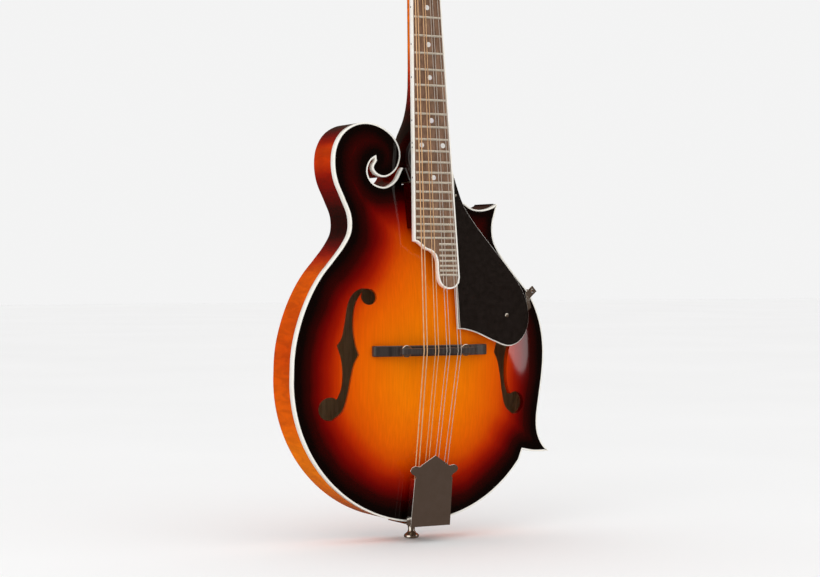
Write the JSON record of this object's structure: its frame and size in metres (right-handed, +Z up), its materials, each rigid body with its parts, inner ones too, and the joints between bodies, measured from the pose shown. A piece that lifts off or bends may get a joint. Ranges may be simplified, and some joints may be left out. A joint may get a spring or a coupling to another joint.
{
  "type": "mandolin",
  "caption": "Carved-top scroll-body mandolin with arched plates, f-holes, geared tuners, adjustable bridge and a sliding tailpiece cover.",
  "frame": {"origin": "middle of the strap button's flat outer end, at the tail of the body", "axes": "+Z up the neck, -Y out of the face, +X to the treble side"},
  "size_m": [0.2629, 0.0914, 0.6747],
  "materials": {
    "sunburst_spruce": "clear gloss lacquer over a sunburst stain",
    "sunburst_maple": "clear gloss lacquer over stained maple",
    "bare_wood": "unfinished",
    "rosewood": "oiled",
    "ebony": "satin",
    "ivoroid": "polished",
    "bone": "polished bone",
    "string_steel": "plain drawn wire",
    "string_bronze": "bronze winding",
    "black_plastic": "gloss",
    "gear_brass": "machined",
    "nickel": "polished nickel plate",
    "pearl_plastic": "pearl gloss"
  },
  "bodies": {
    "body": {"top_plate": "sunburst_spruce", "back_plate": "sunburst_maple", "body_binding": "ivoroid", "rib_bass": "sunburst_maple", "rib_treble_lower": "sunburst_maple", "rib_treble_waist": "sunburst_maple", "rib_treble_shoulder": "sunburst_maple", "neck_block": "bare_wood", "tail_block": "bare_wood", "lower_point_block": "bare_wood", "upper_point_block": "bare_wood", "lining_front": "bare_wood", "lining_back": "bare_wood", "tone_bar_bass": "bare_wood", "tone_bar_treble": "bare_wood", "neck": "sunburst_maple", "truss_rod": "string_steel", "truss_rod_cover": "black_plastic", "headstock_veneer": "ebony", "fingerboard": "rosewood", "fingerboard_binding": "ivoroid", "fingerboard_riser": "sunburst_maple", "nut": "bone", "bridge_base": "ebony", "tailpiece_base": "nickel", "strap_button": "nickel", "tuner_plate_bass": "nickel", "tuner_plate_treble": "nickel", "pickguard": "black_plastic", "pickguard_bracket": "nickel", "pickguard_clamp": "nickel", "string_g_1": "string_bronze", "string_g_2": "string_bronze", "string_d_1": "string_bronze", "string_d_2": "string_bronze", "string_a_1": "string_steel", "string_a_2": "string_steel", "string_e_1": "string_steel", "string_e_2": "string_steel"},
    "truss_nut": {"truss_rod_nut": "gear_brass"},
    "saddle": {"bridge_saddle": "ebony"},
    "wheel_bass": {"thumbwheel_bass": "nickel"},
    "wheel_treble": {"thumbwheel_treble": "nickel"},
    "cover": {"tailpiece_cover": "nickel"},
    "post_bass_1": {"tuner_post_bass_1": "nickel"},
    "button_bass_1": {"tuner_button_bass_1": "pearl_plastic"},
    "post_bass_2": {"tuner_post_bass_2": "nickel"},
    "button_bass_2": {"tuner_button_bass_2": "pearl_plastic"},
    "post_bass_3": {"tuner_post_bass_3": "nickel"},
    "button_bass_3": {"tuner_button_bass_3": "pearl_plastic"},
    "post_bass_4": {"tuner_post_bass_4": "nickel"},
    "button_bass_4": {"tuner_button_bass_4": "pearl_plastic"},
    "post_treble_1": {"tuner_post_treble_1": "nickel"},
    "button_treble_1": {"tuner_button_treble_1": "pearl_plastic"},
    "post_treble_2": {"tuner_post_treble_2": "nickel"},
    "button_treble_2": {"tuner_button_treble_2": "pearl_plastic"},
    "post_treble_3": {"tuner_post_treble_3": "nickel"},
    "button_treble_3": {"tuner_button_treble_3": "pearl_plastic"},
    "post_treble_4": {"tuner_post_treble_4": "nickel"},
    "button_treble_4": {"tuner_button_treble_4": "pearl_plastic"}
  },
  "joints": [
    {"name": "thumbwheel_bass_spin", "type": "hinge", "parent": "saddle", "child": "wheel_bass", "pos_m": [-0.03, -0.0459, 0.171], "axis": [0, -1, 0], "range_deg": [-620, 1085]},
    {"name": "thumbwheel_treble_spin", "type": "hinge", "parent": "saddle", "child": "wheel_treble", "pos_m": [0.03, -0.0459, 0.171], "axis": [0, -1, 0], "range_deg": [-620, 1085]},
    {"name": "saddle_height", "type": "slide", "parent": "body", "child": "saddle", "axis": [0, -1, 0], "range_m": [-0.0012, 0.0021], "deforming": ["string_g_1", "string_g_2", "string_d_1", "string_d_2", "string_a_1", "string_a_2", "string_e_1", "string_e_2"]},
    {"name": "tailpiece_cover_slide", "type": "slide", "parent": "body", "child": "cover", "axis": [0, -0.1426, 0.9898], "range_m": [0, 0.025]},
    {"name": "truss_rod_nut_turn", "type": "hinge", "parent": "body", "child": "truss_nut", "pos_m": [0, -0.01367, 0.53593], "axis": [0, 0.0797, 0.9968], "range_deg": [-360, 360]},
    {"name": "tuner_button_bass_1_turn", "type": "hinge", "parent": "body", "child": "button_bass_1", "pos_m": [-0.017, 0.00533, 0.55156], "axis": [-1, 0, 0], "continuous": true},
    {"name": "tuner_post_bass_1_turn", "type": "hinge", "parent": "body", "child": "post_bass_1", "pos_m": [-0.017, -0.01212, 0.56508], "axis": [0, -0.9703, 0.2419], "continuous": true},
    {"name": "tuner_button_bass_2_turn", "type": "hinge", "parent": "body", "child": "button_bass_2", "pos_m": [-0.017, 0.01089, 0.57388], "axis": [-1, 0, 0], "continuous": true},
    {"name": "tuner_post_bass_2_turn", "type": "hinge", "parent": "body", "child": "post_bass_2", "pos_m": [-0.017, -0.00656, 0.5874], "axis": [0, -0.9703, 0.2419], "continuous": true},
    {"name": "tuner_button_bass_3_turn", "type": "hinge", "parent": "body", "child": "button_bass_3", "pos_m": [-0.017, 0.01646, 0.59619], "axis": [-1, 0, 0], "continuous": true},
    {"name": "tuner_post_bass_3_turn", "type": "hinge", "parent": "body", "child": "post_bass_3", "pos_m": [-0.017, -0.00099, 0.60971], "axis": [0, -0.9703, 0.2419], "continuous": true},
    {"name": "tuner_button_bass_4_turn", "type": "hinge", "parent": "body", "child": "button_bass_4", "pos_m": [-0.017, 0.02202, 0.61851], "axis": [-1, 0, 0], "continuous": true},
    {"name": "tuner_post_bass_4_turn", "type": "hinge", "parent": "body", "child": "post_bass_4", "pos_m": [-0.017, 0.00457, 0.63203], "axis": [0, -0.9703, 0.2419], "continuous": true},
    {"name": "tuner_button_treble_1_turn", "type": "hinge", "parent": "body", "child": "button_treble_1", "pos_m": [0.017, 0.00533, 0.55156], "axis": [1, 0, 0], "continuous": true},
    {"name": "tuner_post_treble_1_turn", "type": "hinge", "parent": "body", "child": "post_treble_1", "pos_m": [0.017, -0.01212, 0.56508], "axis": [0, -0.9703, 0.2419], "continuous": true},
    {"name": "tuner_button_treble_2_turn", "type": "hinge", "parent": "body", "child": "button_treble_2", "pos_m": [0.017, 0.01089, 0.57388], "axis": [1, 0, 0], "continuous": true},
    {"name": "tuner_post_treble_2_turn", "type": "hinge", "parent": "body", "child": "post_treble_2", "pos_m": [0.017, -0.00656, 0.5874], "axis": [0, -0.9703, 0.2419], "continuous": true},
    {"name": "tuner_button_treble_3_turn", "type": "hinge", "parent": "body", "child": "button_treble_3", "pos_m": [0.017, 0.01646, 0.59619], "axis": [1, 0, 0], "continuous": true},
    {"name": "tuner_post_treble_3_turn", "type": "hinge", "parent": "body", "child": "post_treble_3", "pos_m": [0.017, -0.00099, 0.60971], "axis": [0, -0.9703, 0.2419], "continuous": true},
    {"name": "tuner_button_treble_4_turn", "type": "hinge", "parent": "body", "child": "button_treble_4", "pos_m": [0.017, 0.02202, 0.61851], "axis": [1, 0, 0], "continuous": true},
    {"name": "tuner_post_treble_4_turn", "type": "hinge", "parent": "body", "child": "post_treble_4", "pos_m": [0.017, 0.00457, 0.63203], "axis": [0, -0.9703, 0.2419], "continuous": true}
  ],
  "couplings": [
    {"joint": "thumbwheel_bass_spin", "follows": "saddle_height", "rad_per_m": 8976},
    {"joint": "thumbwheel_treble_spin", "follows": "saddle_height", "rad_per_m": 8976},
    {"joint": "tuner_post_bass_1_turn", "follows": "tuner_button_bass_1_turn", "ratio": 0.071429},
    {"joint": "tuner_post_bass_2_turn", "follows": "tuner_button_bass_2_turn", "ratio": 0.071429},
    {"joint": "tuner_post_bass_3_turn", "follows": "tuner_button_bass_3_turn", "ratio": 0.071429},
    {"joint": "tuner_post_bass_4_turn", "follows": "tuner_button_bass_4_turn", "ratio": 0.071429},
    {"joint": "tuner_post_treble_1_turn", "follows": "tuner_button_treble_1_turn", "ratio": -0.071429},
    {"joint": "tuner_post_treble_2_turn", "follows": "tuner_button_treble_2_turn", "ratio": -0.071429},
    {"joint": "tuner_post_treble_3_turn", "follows": "tuner_button_treble_3_turn", "ratio": -0.071429},
    {"joint": "tuner_post_treble_4_turn", "follows": "tuner_button_treble_4_turn", "ratio": -0.071429}
  ]
}
